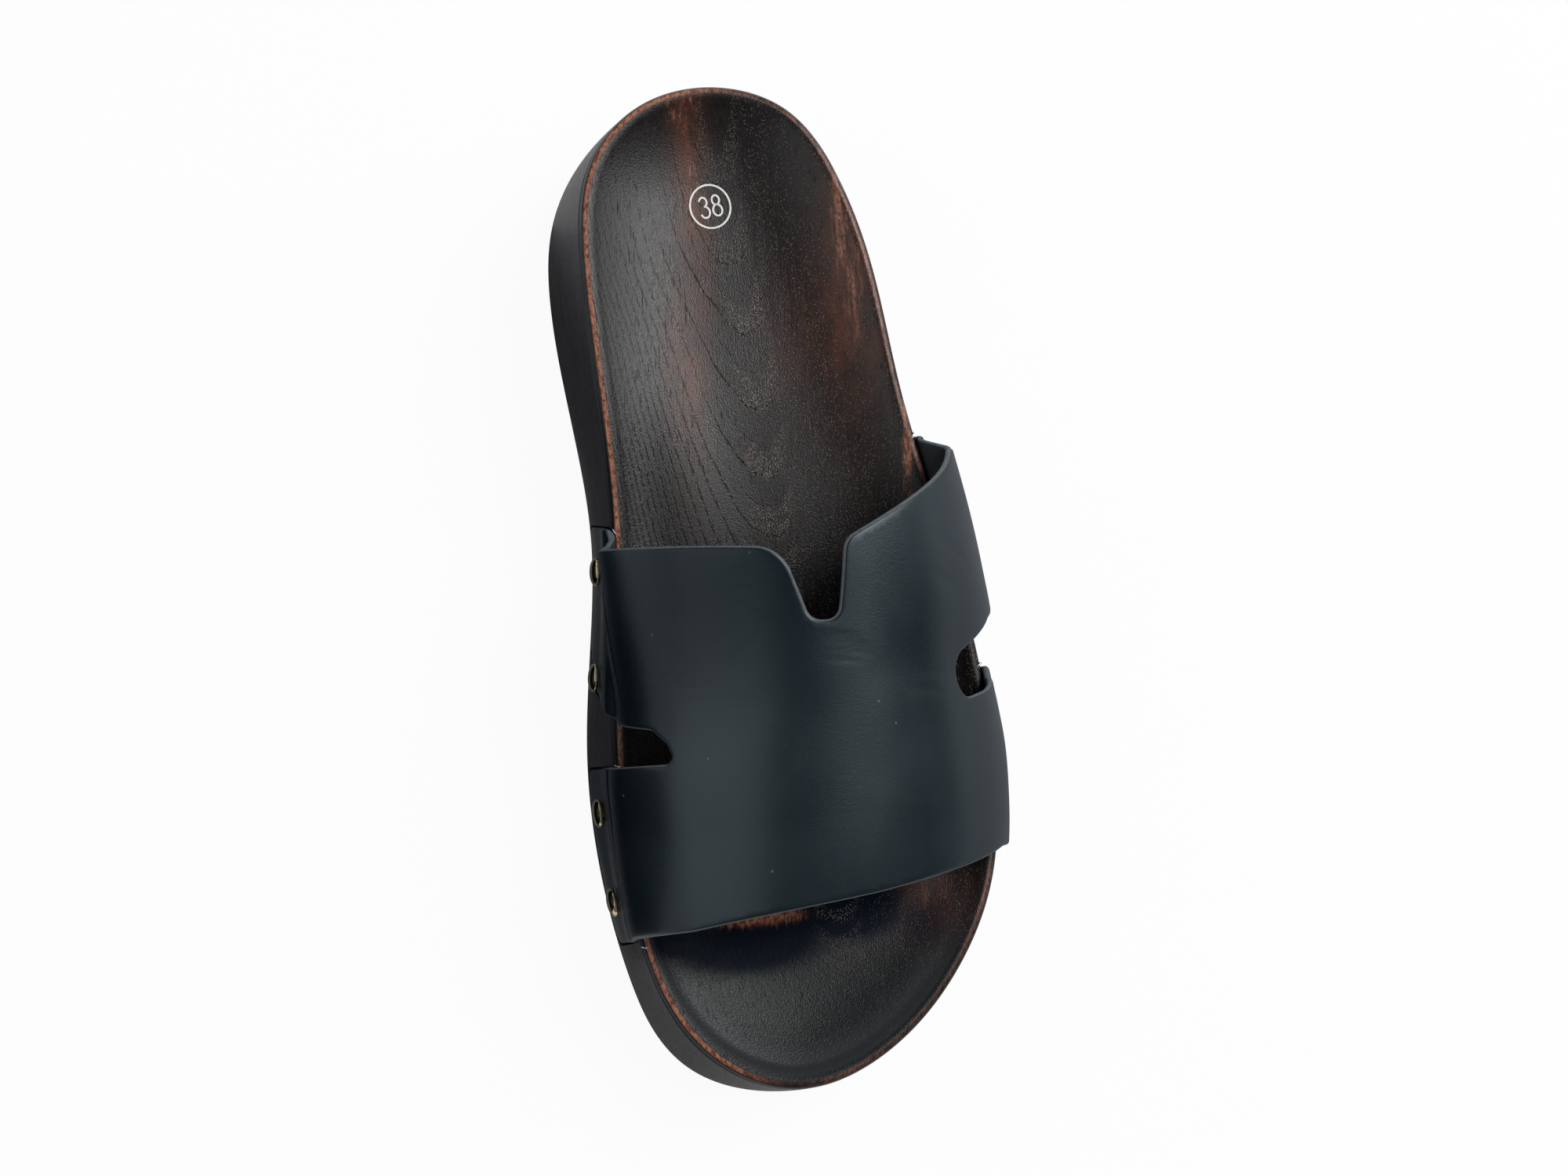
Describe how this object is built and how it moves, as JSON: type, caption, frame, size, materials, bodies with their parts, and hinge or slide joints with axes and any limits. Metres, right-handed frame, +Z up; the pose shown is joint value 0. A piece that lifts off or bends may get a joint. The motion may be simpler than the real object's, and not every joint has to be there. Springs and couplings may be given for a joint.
{
  "type": "platform mule",
  "caption": "Platform mule, left shoe: one-piece moulded wood-look sole with a footbed, and a wide leather band with a notch and side cut-outs, nailed to the side wall.",
  "frame": {"origin": "on the floor under the middle of the heel seat", "axes": "+X to the medial (big toe) side, +Y from heel to toe, +Z up; the shoe stands on its sole"},
  "size_m": [0.1136, 0.2686, 0.09],
  "materials": {
    "moulded_sole": "satin moulded polyurethane with an embossed wood grain and a burnished copper-brown rim",
    "leather": "smooth semi-gloss black",
    "gold_stud": "polished gold-coloured plating"
  },
  "bodies": {
    "root": {"sole": "moulded_sole", "upper": "leather", "stud_medial_1": "gold_stud", "stud_medial_2": "gold_stud", "stud_medial_3": "gold_stud", "stud_medial_4": "gold_stud", "stud_lateral_1": "gold_stud", "stud_lateral_2": "gold_stud", "stud_lateral_3": "gold_stud", "stud_lateral_4": "gold_stud"}
  },
  "joints": []
}
